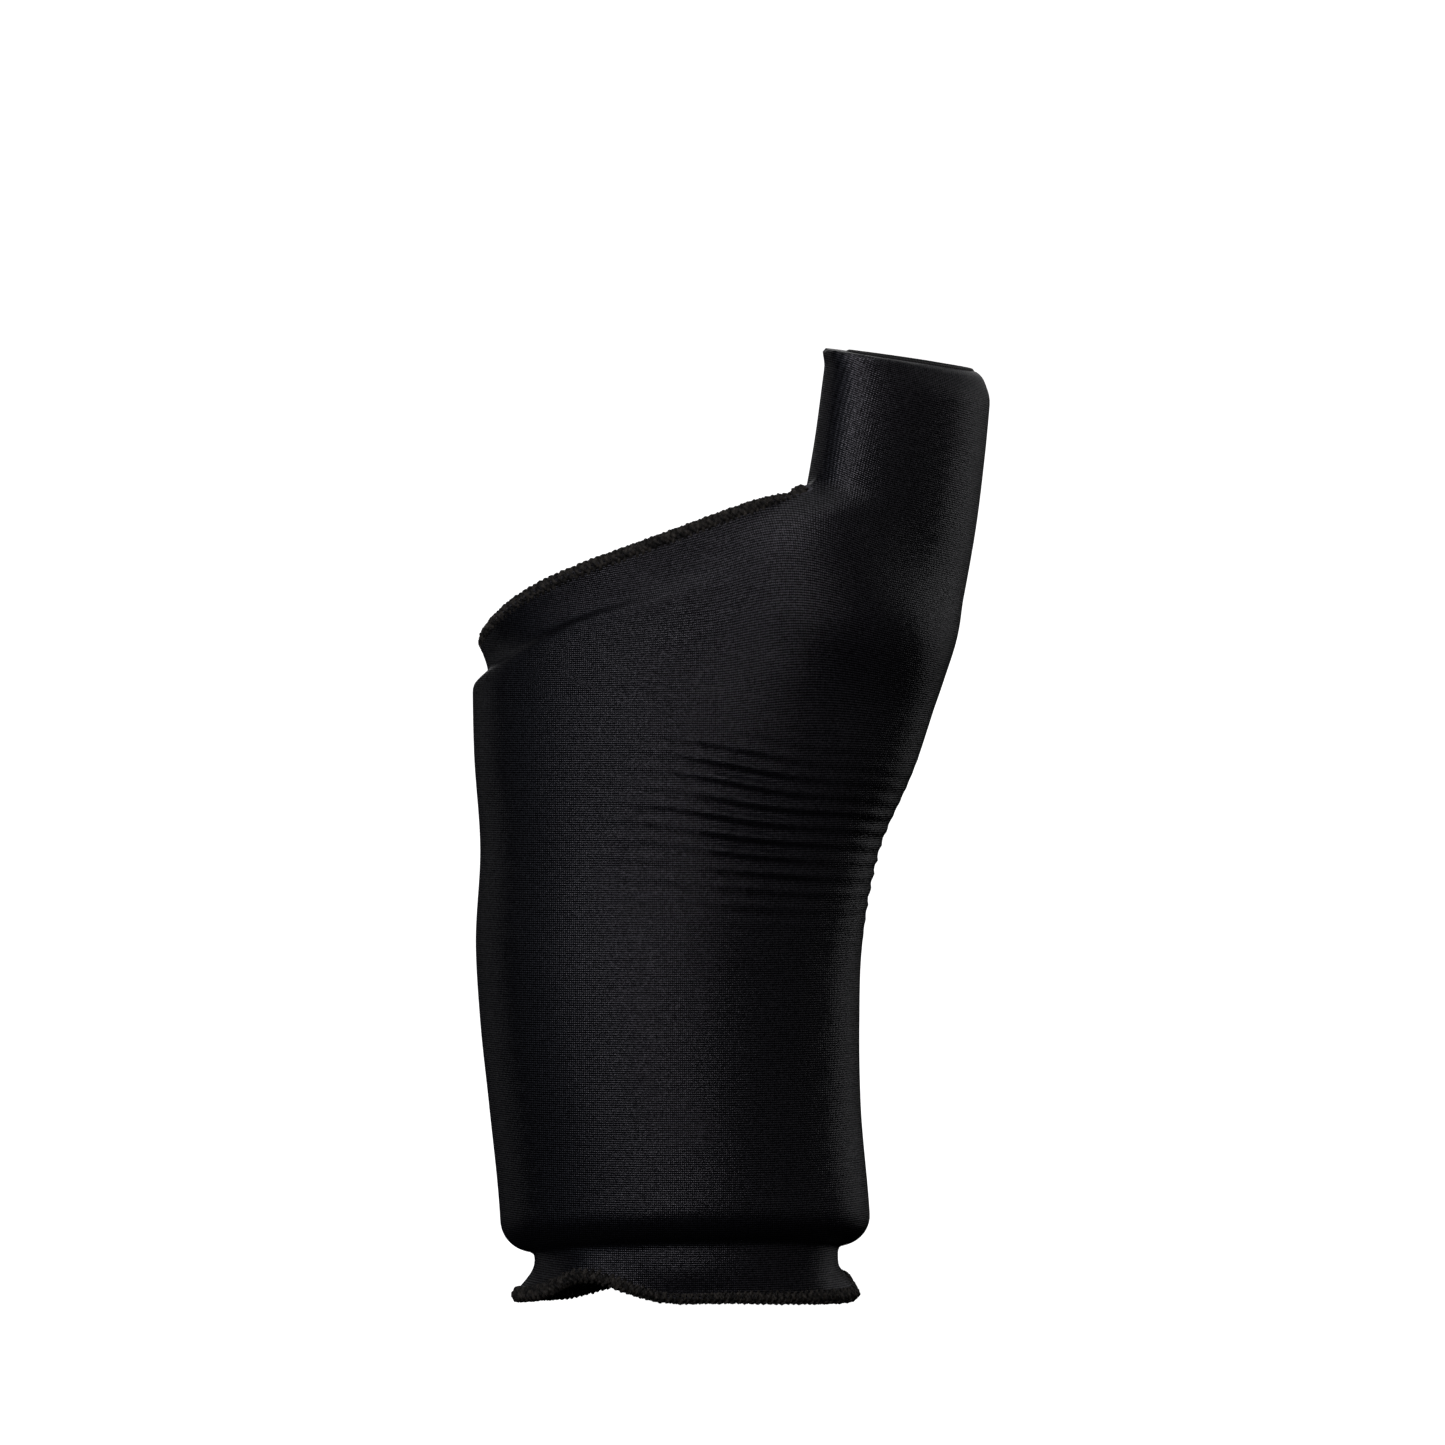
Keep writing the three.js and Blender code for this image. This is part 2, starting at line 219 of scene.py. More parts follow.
def thumb_distance(p):
    """Distance to the thumb tube, whose section leans round so that its front faces a little outward."""
    x, y, z = p
    centre_x, centre_y, half_x, half_y = at_height(THUMB_CURVES, z)
    lean = THUMB_LEAN["amount"] * smooth((z - THUMB_LEAN["z"]) / THUMB_LEAN["rise"])
    across = x - centre_x
    return oval_distance(across, y - centre_y - lean * across, half_x, half_y) / (1 + 0.35 * lean)


def arm_angle(p):
    return np.arctan2(p[1] / 26.0, (p[0] + 1.0) / 34.0)


def wrist_crease(p):
    return WRIST_END["height"] + WRIST_END["across"] * p[0] + WRIST_END["depth"] * p[1]


def rim_height(p):
    little_finger = RIM_LIFT["height"] * smooth((RIM_LIFT["x"] - p[0]) / RIM_LIFT["reach"])
    return RIM["height"] + RIM["across"] * p[0] + RIM["depth"] * p[1] + little_finger


def thumb_rim_height(p):
    return THUMB_RIM["height"] + THUMB_RIM["across"] * (p[0] - THUMB_RIM["x"]) + THUMB_RIM["depth"] * p[1]


def cuff_wave(p, column):
    angle = arm_angle(p)
    total = 0.0
    for wave in CUFF_WAVES:
        turn = np.arctan2(np.sin(angle - wave[0]), np.cos(angle - wave[0]))
        total = total + wave[column] * np.exp(-((turn / wave[3]) ** 2))
    return total


def cuff_edge(p):
    return cuff_wave(p, 1) + CUFF_EDGE["depth"] * p[1]


def cuff_flare(p):
    out = CUFF_EDGE["flare"] + cuff_wave(p, 2)
    return out * (1 - smooth((p[2] - cuff_edge(p)) / CUFF_EDGE["length"])) ** 1.3


def hand_shoulder(p):
    """How far the padding has thinned towards the hand opening, from 0 to 1, and by how much."""
    x, y = p[0], np.abs(p[1])
    below = rim_height(p) - p[2]
    narrowing = 1 - 0.9 * smooth((x + 14) / 34)
    band = HAND_END["band"] + HAND_END["band_front"] * smooth(y / HAND_END["spread"]) * narrowing
    softening = smooth((x + 22) / 32)
    length = HAND_END["length"] + (HAND_END["web_length"] - HAND_END["length"]) * softening
    thin = 1 - smooth((below - band) / length)
    lip = HAND_LIP["out"] * (1 - smooth(below / HAND_LIP["length"])) * (1 - smooth((x + 30) / 30))
    drop = HAND_END["drop"] * (1 - 0.6 * smooth((x + 4) / 24)) * (1 - 0.5 * smooth((y - 4) / 12))
    return thin, drop - lip


def soft_noise(p, seed, pitch):
    """Slow waves in every direction, between about -1 and 1."""
    rng = np.random.default_rng(seed)
    total = 0.0
    for _ in range(7):
        way = rng.normal(size=3)
        way *= 2 * math.pi / (pitch * rng.uniform(0.7, 1.5) * np.linalg.norm(way))
        total = total + np.sin(way[0] * p[0] + way[1] * p[1] + way[2] * p[2] + rng.uniform(0, 6.28))
    return total / 4.0


def ripple_height(p):
    """Fine folds where the wrist bends, on the thumb side of the back of the hand."""
    x, y, z = p
    across = x - RIPPLES["x"]
    reach = np.exp(-((across / RIPPLES["reach_x"]) ** 2) * np.where(across > 0, 1.7, 1.0))
    height = (z - RIPPLES["z"] + RIPPLE_SLOPE["patch"] * across) / RIPPLES["reach_z"]
    reach = reach * np.exp(-(height**4)) * smooth((14 - y) / 16)
    lean = RIPPLE_SLOPE["folds"] + RIPPLE_SLOPE["fan"] * (z - RIPPLES["z"])
    along = z + lean * (x - RIPPLE_SLOPE["x"]) + 0.5 * soft_noise(p, 3, 26.0)
    wave = np.sin(2 * math.pi * along / RIPPLES["pitch"])
    folds = 0.6 * wave - 0.4 * (1 - np.abs(wave)) ** 2
    patchy = 0.75 + 0.45 * soft_noise((x * 0.5, y * 0.5, z * 1.6), 5, 11.0)
    return RIPPLES["depth"] * reach * folds * np.clip(patchy, 0.15, 1.3)


def arm_cover(p):
    """Distance to the outer face of the arm tube, with its padded ends, cuff and band, ended by a cap."""
    d = arm_distance(p)
    thin, drop = hand_shoulder(p)
    pad_start = wrist_crease(p)
    padded = rounded_corner(d + drop * thin, pad_start - p[2], WRIST_END["radius"])
    cuff = d + WRIST_END["drop"] - cuff_flare(p)
    cuff = np.maximum(cuff, p[2] - pad_start - 12)
    return np.maximum(softest(padded, cuff, WRIST_END["crease"]), p[2] - rim_height(p) - RIM["cap"])


def thumb_cover(p):
    d = thumb_distance(p)
    outward = smooth((p[0] - 30) / 20)
    radius = 0.4 + (THUMB_TOP["radius"] - 0.4) * outward
    below = thumb_rim_height(p) - p[2]
    lean = THUMB_TOP["drop"] * outward * (1 - smooth(below / 6.5)) ** 1.5
    lip = THUMB_TOP["lip"] * (1 - smooth((p[0] - 25) / 7)) * (1 - smooth(below / 4.0)) ** 1.3
    return rounded_corner(d + lean - lip, -below, radius)


def fillet_width(p):
    below_rim = smooth((rim_height(p) + 3 - p[2]) / 12)
    return 3.0 + 13.0 * smooth((p[2] - 110) / 18) * below_rim


def cover_distance(p):
    d = softest(arm_cover(p), thumb_cover(p), fillet_width(p))
    wrinkles = ripple_height(p) + 0.10 * soft_noise(p, 11, 30.0)
    return d - wrinkles


def lining_distance(p):
    thin, drop = hand_shoulder(p)
    wrist = 1 - smooth((p[2] - wrist_crease(p)) / 6)
    arm_wall = ARM_WALL + (drop + EDGE_WALL - ARM_WALL) * thin
    arm_wall = arm_wall + (WRIST_END["drop"] + EDGE_WALL - ARM_WALL) * wrist - cuff_flare(p)
    arm = np.maximum(arm_distance(p) + arm_wall, p[2] - rim_height(p) - RIM["cap"])
    near_rim = 1 - smooth((thumb_rim_height(p) - p[2]) / THUMB_TOP["funnel"])
    thumb_wall = THUMB_WALL + (THUMB_TOP["wall"] - THUMB_WALL) * near_rim
    return softest(arm, thumb_distance(p) + thumb_wall, 4.0)


def gradient(distance, points, step=0.05):
    out = np.empty_like(points)
    for axis in range(3):
        shift = np.zeros(3)
        shift[axis] = step
        out[:, axis] = (distance((points + shift).T) - distance((points - shift).T)) / (2 * step)
    return out


# ---- Meshes ------------------------------------------------------------------------------------


def surface_nets(distance, low, high, step):
    """Quads on the surface where distance is zero, one vertex in each grid cell that the surface crosses."""
    axes = [np.arange(low[k], high[k] + step, step) for k in range(3)]
    grid = np.meshgrid(*axes, indexing="ij")
    values = distance(grid)
    inside = values < 0
    cells = tuple(n - 1 for n in values.shape)
    corner_sum = np.zeros(cells + (3,))
    crossings = np.zeros(cells)

    def window(array, offset):
        return array[tuple(slice(o, o + n) for o, n in zip(offset, cells))]

    for axis in range(3):
        for a in (0, 1):
            for b in (0, 1):
                start = [0, 0, 0]
                start[(axis + 1) % 3], start[(axis + 2) % 3] = a, b
                end = list(start)
                end[axis] = 1
                v0, v1 = window(values, start), window(values, end)
                crossed = (v0 < 0) != (v1 < 0)
                t = np.where(crossed, v0 / np.where(crossed, v0 - v1, 1), 0)
                crossings += crossed
                for k in range(3):
                    corner_sum[..., k] += crossed * (t if k == axis else start[k])
    used = crossings > 0
    index = np.full(cells, -1)
    index[used] = np.arange(used.sum())
    where = np.argwhere(used)
    points = (where + corner_sum[used] / crossings[used][:, None]) * step + np.array([a[0] for a in axes])

    faces = []
    for axis in range(3):
        b, c = (axis + 1) % 3, (axis + 2) % 3
        first = [slice(None)] * 3
        second = [slice(None)] * 3
        first[axis], second[axis] = slice(0, -1), slice(1, None)
        s0, s1 = inside[tuple(first)], inside[tuple(second)]
        edges = np.argwhere(s0 != s1)
        flip = s0[tuple(edges.T)]
        keep = (edges[:, b] > 0) & (edges[:, c] > 0)
        keep &= (edges[:, b] < cells[b]) & (edges[:, c] < cells[c])
        edges, flip = edges[keep], flip[keep]
        ring = []
        for db, dc in ((1, 1), (0, 1), (0, 0), (1, 0)):
            at = edges.copy()
            at[:, b] -= db
            at[:, c] -= dc
            ring.append(index[tuple(at.T)])
        quads = np.stack(ring, axis=1)
        quads[~flip] = quads[~flip][:, ::-1]
        faces.append(quads)
    return points, np.concatenate(faces)


def settle(distance, points, faces, rounds=6):
    """Evens the mesh out along the surface and puts each vertex exactly on it."""
    a = np.concatenate([faces[:, k] for k in range(4)])
    b = np.concatenate([faces[:, (k + 1) % 4] for k in range(4)])
    count = np.bincount(a, minlength=len(points)) + np.bincount(b, minlength=len(points))
    for _ in range(rounds):
        total = np.zeros_like(points)
        for k in range(3):
            ahead = np.bincount(a, points[b, k], len(points))
            behind = np.bincount(b, points[a, k], len(points))
            total[:, k] = ahead + behind
        points = points + 0.5 * (total / count[:, None] - points)
        for _ in range(2):
            slope = gradient(distance, points)
            size = np.maximum((slope**2).sum(1), 0.2)
            points = points - slope * np.clip(distance(points.T) / size, -0.6, 0.6)[:, None]
    return points


def clip(points, faces, field):
    """Keeps the part of a mesh where field(points) is negative, with a clean edge along its zero line."""
    value = field(points.T)
    negative = value < 0
    corner = [negative[list(face)] for face in faces]
    kept, made, extra, at = [], {}, [], len(points)
    for face, signs in zip(faces, corner):
        if signs.all():
            kept.append(tuple(face))
            continue
        if not signs.any():
            continue
        out = []
        for i, j in zip(face, list(face[1:]) + [face[0]]):
            if negative[i]:
                out.append(i)
            if negative[i] != negative[j]:
                key = (min(i, j), max(i, j))
                if key not in made:
                    t = value[i] / (value[i] - value[j])
                    extra.append(points[i] * (1 - t) + points[j] * t)
                    made[key] = at
                    at += 1
                out.append(made[key])
        if len(out) > 2:
            kept.append(tuple(out))
    points = np.concatenate([points, np.array(extra).reshape(-1, 3)])
    used = np.unique(np.concatenate([np.array(face) for face in kept]))
    renumber = np.full(len(points), -1)
    renumber[used] = np.arange(len(used))
    return points[used], [tuple(int(renumber[i]) for i in face) for face in kept]


def boundary_loops(faces):
    """The open edges of a mesh as closed chains of vertices."""
    following = {}
    edges = set()
    for face in faces:
        for i, j in zip(face, list(face[1:]) + [face[0]]):
            edges.add((i, j))
    for i, j in edges:
        if (j, i) not in edges:
            following[i] = j
    loops = []
    while following:
        start, current = next(iter(following.items()))
        loop = [start]
        del following[start]
        while current != start and current in following:
            loop.append(current)
            current = following.pop(current)
        loops.append(loop)
    return loops


def even_loop(points, count, smoothing=0):
    """A closed chain of points, spaced evenly and smoothed."""
    closed = np.vstack([points, points[:1]])
    length = np.concatenate([[0], np.cumsum(np.linalg.norm(np.diff(closed, axis=0), axis=1))])
    at = np.linspace(0, length[-1], count, endpoint=False)
    loop = np.stack([np.interp(at, length, closed[:, k]) for k in range(3)], axis=1)
    for _ in range(smoothing):
        loop = 0.5 * loop + 0.25 * (np.roll(loop, 1, 0) + np.roll(loop, -1, 0))
    return loop


def new_object(name, points, faces, material):
    mesh = bpy.data.meshes.new(name)
    mesh.from_pydata((np.asarray(points) * MM).tolist(), [], [tuple(map(int, f)) for f in faces])
    mesh.polygons.foreach_set("use_smooth", np.ones(len(mesh.polygons), bool))
    mesh.materials.append(material)
    mesh.update()
    made = bpy.data.objects.new(name, mesh)
    bpy.context.scene.collection.objects.link(made)
    return made


# ---- Materials ---------------------------------------------------------------------------------


class Nodes:
    """A short way to write a material's node tree."""

    def __init__(self, name):
        self.material = bpy.data.materials.new(name)
        self.material.use_nodes = True
        self.tree = self.material.node_tree
        self.shader = self.tree.nodes["Principled BSDF"]

    def add(self, kind, inputs=None, **settings):
        node = self.tree.nodes.new(kind)
        for key, value in settings.items():
            setattr(node, key, value)
        for key, value in (inputs or {}).items():
            self.put(node.inputs[key], value)
        return node

    def put(self, socket, value):
        if isinstance(value, bpy.types.NodeSocket):
            self.tree.links.new(value, socket)
        else:
            socket.default_value = value

    def math(self, operation, a, b=0.0, c=0.0):
        node = self.add("ShaderNodeMath", {0: a, 1: b, 2: c}, operation=operation)
        return node.outputs[0]

    def attribute(self, name):
        return self.add("ShaderNodeAttribute", attribute_name=name).outputs["Fac"]

    def noise(self, position, scale, detail=3.0, roughness=0.55):
        inputs = {"Vector": position, "Scale": scale, "Detail": detail, "Roughness": roughness}
        return self.add("ShaderNodeTexNoise", inputs).outputs["Fac"]

    def mix_colour(self, factor, a, b):
        return self.add("ShaderNodeMix", {0: factor, 6: a, 7: b}, data_type="RGBA").outputs[2]

    def finish(self, colour, roughness, height, distance, sheen, sheen_tint, sheen_roughness=0.5):
        bump = self.add("ShaderNodeBump", {"Height": height, "Distance": distance, "Strength": 1.0})
        self.put(self.shader.inputs["Base Color"], colour)
        self.put(self.shader.inputs["Roughness"], roughness)
        self.put(self.shader.inputs["Normal"], bump.outputs[0])
        self.shader.inputs["Sheen Weight"].default_value = sheen
        self.shader.inputs["Sheen Roughness"].default_value = sheen_roughness
        self.shader.inputs["Sheen Tint"].default_value = sheen_tint
        if not self.shader.inputs["Specular IOR Level"].is_linked:
            self.shader.inputs["Specular IOR Level"].default_value = 0.3
        return self.material


def knit_fabric(name, dark, light):
    """Warp knit: a fine grid of courses and wales, each loop catching the light a little differently."""
    n = Nodes(name)
    position = n.add("ShaderNodeAttribute", attribute_name="rest").outputs["Vector"]
    axes = n.add("ShaderNodeSeparateXYZ", {"Vector": position}).outputs
    wander = n.math("MULTIPLY", n.math("SUBTRACT", n.noise(position, 420.0, 2.0), 0.5), 0.5)
    v = n.math("MULTIPLY_ADD", n.attribute("v"), 2 * math.pi / (COURSE * MM), wander)
    course = n.math("MULTIPLY_ADD", n.math("SINE", v), 0.5, 0.5)
    across = []
    for place in (n.attribute("u"), axes[1]):
        turn = n.math("MULTIPLY_ADD", place, 2 * math.pi / (WALE * MM), wander)
        across.append(n.math("MULTIPLY_ADD", n.math("SINE", turn), 0.5, 0.5))
    front = n.math("SUBTRACT", 1.0, n.attribute("side"))
    wale = n.math("MULTIPLY", across[1], n.attribute("side"))
    wale = n.math("MULTIPLY_ADD", across[0], front, wale)
    loop = n.math("MULTIPLY", course, n.math("MULTIPLY_ADD", wale, 0.6, 0.4))
    fibres = n.noise(position, 5200.0, 2.0, 0.7)
    speckle = n.noise(position, 2500.0, 1.0, 0.5)
    broad = n.noise(position, 30.0, 3.0)
    grain = n.math("MULTIPLY_ADD", loop, 1.45, -0.05)
    grain = n.math("MULTIPLY_ADD", n.math("SUBTRACT", speckle, 0.5), 1.5, grain)
    grain = n.math("MULTIPLY_ADD", n.math("SUBTRACT", broad, 0.5), 0.35, grain)
    grain = n.math("MINIMUM", n.math("MAXIMUM", grain, 0.0), 1.3)
    height = n.math("MULTIPLY_ADD", fibres, 0.35, n.math("MULTIPLY_ADD", speckle, 0.8, loop))
    drawn_tight = n.math("MULTIPLY_ADD", n.attribute("tight"), 0.5, 1.0)
    shine = n.math("MULTIPLY", n.math("MULTIPLY_ADD", grain, 0.55, 0.05), drawn_tight)
    n.put(n.shader.inputs["Specular IOR Level"], shine)
    n.shader.inputs["Specular Tint"].default_value = (0.92, 0.91, 1.0, 1.0)
    colour = n.mix_colour(n.math("MINIMUM", grain, 1.0), dark, light)
    roughness = n.math("MULTIPLY_ADD", fibres, 0.12, 0.31)
    return n.finish(colour, roughness, height, 0.06 * MM, 0.012, (0.80, 0.84, 1.0, 1.0), 0.42)


def brushed_lining(name):
    """The side against the skin, with a short soft pile."""
    n = Nodes(name)
    position = n.add("ShaderNodeTexCoord").outputs["Object"]
    pile = n.noise(position, 1700.0, 5.0, 0.7)
    broad = n.noise(position, 45.0, 3.0)
    height = n.math("MULTIPLY_ADD", broad, 0.5, pile)
    colour = n.mix_colour(n.math("MULTIPLY", pile, broad), (0.006, 0.006, 0.008, 1), (0.03, 0.03, 0.036, 1))
    roughness = n.math("MULTIPLY_ADD", pile, 0.2, 0.72)
    return n.finish(colour, roughness, height, 0.3 * MM, 0.4, (0.8, 0.8, 0.9, 1), 0.6)


def thread_yarn(name, dark, light):
    """Spun polyester: fine fibres twisted along the yarn."""
    n = Nodes(name)
    position = n.add("ShaderNodeTexCoord").outputs["Object"]
    fibre = n.noise(position, 6500.0, 3.0, 0.7)
    stitches = n.math("MULTIPLY_ADD", n.noise(position, 1000.0, 1.0), 4.0, -1.6)
    stitches = n.math("MINIMUM", n.math("MAXIMUM", stitches, 0.05), 1.2)
    twist = n.math("SINE", n.math("MULTIPLY", n.attribute("twist"), 2 * math.pi))
    height = n.math("MULTIPLY_ADD", twist, 0.35, fibre)
    shade = n.math("MULTIPLY", stitches, n.math("ADD", fibre, 0.35))
    colour = n.mix_colour(shade, dark, light)
    roughness = n.math("MULTIPLY_ADD", fibre, 0.2, 0.5)
    return n.finish(colour, roughness, height, 0.08 * MM, 0.05, (1.0, 0.93, 0.85, 1), 0.4)


def foam_padding(name):
    """Dark foam with fine cells."""
    n = Nodes(name)
    position = n.add("ShaderNodeTexCoord").outputs["Object"]
    cells = n.add("ShaderNodeTexVoronoi", {"Vector": position, "Scale": 1400.0}).outputs["Distance"]
    broad = n.noise(position, 60.0, 3.0)
    colour = n.mix_colour(broad, (0.02, 0.02, 0.024, 1), (0.05, 0.05, 0.055, 1))
    roughness = n.math("MULTIPLY_ADD", broad, 0.15, 0.75)
    return n.finish(colour, roughness, cells, 0.25 * MM, 0.1, (1, 1, 1, 1))


def pale_board(name):
    """Smooth board for the floor, with a faint mottle. It glows so that it stays white."""
    n = Nodes(name)
    position = n.add("ShaderNodeTexCoord").outputs["Object"]
    mottle = n.noise(position, 8.0, 2.0)
    colour = n.mix_colour(mottle, (0.93, 0.93, 0.93, 1), (0.96, 0.96, 0.96, 1))
    n.shader.inputs["Emission Color"].default_value = (1, 1, 1, 1)
    n.shader.inputs["Emission Strength"].default_value = 1.0
    return n.finish(colour, 0.8, mottle, 0.0, 0.0, (1, 1, 1, 1))


# ---- The sleeve's layers -----------------------------------------------------------------------


def cover_cut(p):
    """Positive in the three openings of the cover and negative on its fabric."""
    wrist = cuff_edge(p) + THREAD_ROOM - p[2]
    hand = softest(p[2] - rim_height(p) + THREAD_ROOM, thumb_cover(p) - 1.3, 1.2)
    near_top = p[2] > thumb_rim_height(p) - 2.0
    thumb = np.where(near_top, -thumb_distance(p) - THUMB_TOP["opening"], -9.0)
    return np.maximum(np.maximum(wrist, hand), thumb)


def lining_cut(p):
    """The same for the lining, which ends a little further in."""
    wrist = cuff_edge(p) + THREAD_ROOM - p[2]
    hand = softest(p[2] - rim_height(p) + THREAD_ROOM + 0.5, thumb_cover(p) - 2.3, 1.2)
    thumb = p[2] - thumb_rim_height(p) + 0.4
    return np.maximum(np.maximum(wrist, hand), thumb)


def below_split(p):
    return p[2] - THUMB_SPLIT


def above_split(p):
    return THUMB_SPLIT - p[2]


def thumb_share(p):
    """How far the knit has turned from the arm's way to the thumb's, from 0 to 1."""
    return smooth((p[0] - 4) / 34) * smooth((p[2] - 95) / 25)


def hand_turn(p):
    """How far the knit near the hand opening has turned to run along it."""
    return KNIT_TURN["hand"] * smooth((p[2] - KNIT_TURN["z"]) / KNIT_TURN["rise"])


def course_height(p):
    """The knit's own height: level on the arm, along the hand opening and square to the thumb."""
    x, y, z = p
    hand = z - hand_turn(p) * (x + 5)
    thumb = z + KNIT_TURN["thumb"] * (x - 38) - np.minimum(thumb_distance(p), 0)
    share = thumb_share(p)
    return hand * (1 - share) + thumb * share


def wale_place(p):
    """The knit's own place across the front, square to its courses."""
    x, y, z = p
    share = thumb_share(p)
    return x - KNIT_TURN["thumb"] * share * (z - 145) + hand_turn(p) * (1 - share) * (z - 125)


def tightness(p):
    """How hard the knit is drawn round the thumb, where it shines more, from 0 to 1."""
    return smooth((p[2] - 118) / 34) * smooth((p[0] - 8) / 16)


def paint_fabric(piece, points, distance):
    """Stores what the knit material reads: its place, courses, wales, tightness and facing."""
    mesh = piece.data
    normal = gradient(distance, points)
    normal /= np.linalg.norm(normal, axis=1)[:, None] + 1e-9
    side = smooth((np.abs(normal[:, 0]) - 0.62) / 0.18)
    rest = mesh.attributes.new("rest", "FLOAT_VECTOR", "POINT")
    rest.data.foreach_set("vector", (points * MM).astype(np.float32).ravel())
    place = points.T
    painted = {
        "u": wale_place(place) * MM,
        "v": course_height(place) * MM,
        "side": side,
        "tight": tightness(place),
    }
    for name, values in painted.items():
        layer = mesh.attributes.new(name, "FLOAT", "POINT")
        layer.data.foreach_set("value", values.astype(np.float32))


def open_edges(mesh):
    """True for each edge of a mesh that has a face on one side only."""
    used = np.zeros(len(mesh.edges), int)
    edge_of_corner = np.zeros(len(mesh.loops), int)
    mesh.loops.foreach_get("edge_index", edge_of_corner)
    np.add.at(used, edge_of_corner, 1)
    return used == 1


def thicken(piece, depth):
    """Gives a fabric its thickness, away from the side that shows, with a crisp cut edge."""
    piece.data.edges.foreach_set("use_edge_sharp", open_edges(piece.data))
    shell = piece.modifiers.new("thickness", "SOLIDIFY")
    shell.thickness = depth * MM
    shell.offset = -1.0
    shell.use_even_offset = False


def layer_pieces(names, distance, cut, box, step, material, flip):
    """One fabric layer in two pieces, the sleeve below the split and the thumb above it."""
    points, faces = surface_nets(distance, box[0], box[1], step)
    points = settle(distance, points, faces, 5)
    points, faces = clip(points, faces.tolist(), cut)
    made = []
    for name, field in zip(names, (below_split, above_split)):
        part_points, part_faces = clip(points, faces, field)
        if flip:
            part_faces = [face[::-1] for face in part_faces]
        piece = new_object(name, part_points, part_faces, material)
        paint_fabric(piece, part_points, distance)
        thicken(piece, FABRIC)
        made.append((piece, part_points, part_faces))
    return made


def loop_near(points, faces, target):
    """The open edge of a layer whose middle is nearest to a target."""
    loops = [points[loop] for loop in boundary_loops(faces) if len(loop) > 20]
    return min(loops, key=lambda loop: np.linalg.norm(loop.mean(0) - np.array(target)))


def pad_distance(p, low, high):
    """Filling between the cover and the lining, from one height to another."""
    wall = -softest(-(cover_distance(p) + 1.2), lining_distance(p) - 1.2, 1.2)
    return np.maximum(wall, np.maximum(low - p[2], p[2] - high))


def make_pad(name, low, high, material):
    box_low = (-46, -34, low - 3.4)
    box_high = (62, 36, high + 3.4)

    def distance(p):
        return pad_distance(p, low, high)

    points, faces = surface_nets(distance, box_low, box_high, PAD_GRID)
    return new_object(name, points, faces, material)


# ---- Threads and edges -------------------------------------------------------------------------


def tube(path, radius, sides=6, closed=True, ups=None, twist_per_mm=1.6):
    """A round tube along a path: its points, its faces and how far its fibres have turned."""
    path = np.asarray(path)
    count = len(path)
    if closed:
        tangent = np.roll(path, -1, 0) - np.roll(path, 1, 0)
    else:
        tangent = np.gradient(path, axis=0)
    tangent /= np.linalg.norm(tangent, axis=1)[:, None] + 1e-9
    up = ups if ups is not None else np.tile([0.3, 0.2, 1.0], (count, 1))
    across = np.cross(tangent, up)
    across /= np.linalg.norm(across, axis=1)[:, None] + 1e-9
    up = np.cross(across, tangent)
    radius = np.broadcast_to(radius, (count,))[:, None, None]
    angle = np.linspace(0, 2 * math.pi, sides, endpoint=False)
    ring = across[:, None] * np.cos(angle)[None, :, None] + up[:, None] * np.sin(angle)[None, :, None]
    points = (path[:, None] + radius * ring).reshape(-1, 3)
    span = count if closed else count - 1
    i = np.arange(span)[:, None]
    j = np.arange(sides)[None, :]
    a = i * sides + j
    b = i * sides + (j + 1) % sides
    c = ((i + 1) % count) * sides + (j + 1) % sides
    d = ((i + 1) % count) * sides + j
    faces = np.stack([a, b, c, d], axis=-1).reshape(-1, 4).tolist()
    if not closed:
        faces.append(list(range(sides))[::-1])
        faces.append([(count - 1) * sides + k for k in range(sides)])
    length = np.concatenate([[0], np.cumsum(np.linalg.norm(np.diff(path, axis=0), axis=1))])
    twist = length[:, None] * twist_per_mm + angle[None, :] / (2 * math.pi)
    return points, faces, twist.ravel()


def join_tubes(name, tubes, material):
    points, faces, twist, start = [], [], [], 0
    for tube_points, tube_faces, tube_twist in tubes:
        points.append(tube_points)
        faces += [[i + start for i in face] for face in tube_faces]
        twist.append(tube_twist)
        start += len(tube_points)
    piece = new_object(name, np.concatenate(points), faces, material)
    layer = piece.data.attributes.new("twist", "FLOAT", "POINT")
    layer.data.foreach_set("value", np.concatenate(twist).astype(np.float32))
    return piece


def loop_frame(loop, distance):
    """Along, outward and crosswise directions at each point of a closed loop on a fabric edge."""
    along = np.roll(loop, -1, 0) - np.roll(loop, 1, 0)
    along /= np.linalg.norm(along, axis=1)[:, None]
    out = gradient(distance, loop)
    out -= along * (out * along).sum(1)[:, None]
    for _ in range(12):
        out = 0.5 * out + 0.25 * (np.roll(out, 1, 0) + np.roll(out, -1, 0))
    out -= along * (out * along).sum(1)[:, None]
    out /= np.linalg.norm(out, axis=1)[:, None] + 1e-9
    return along, out, np.cross(along, out)


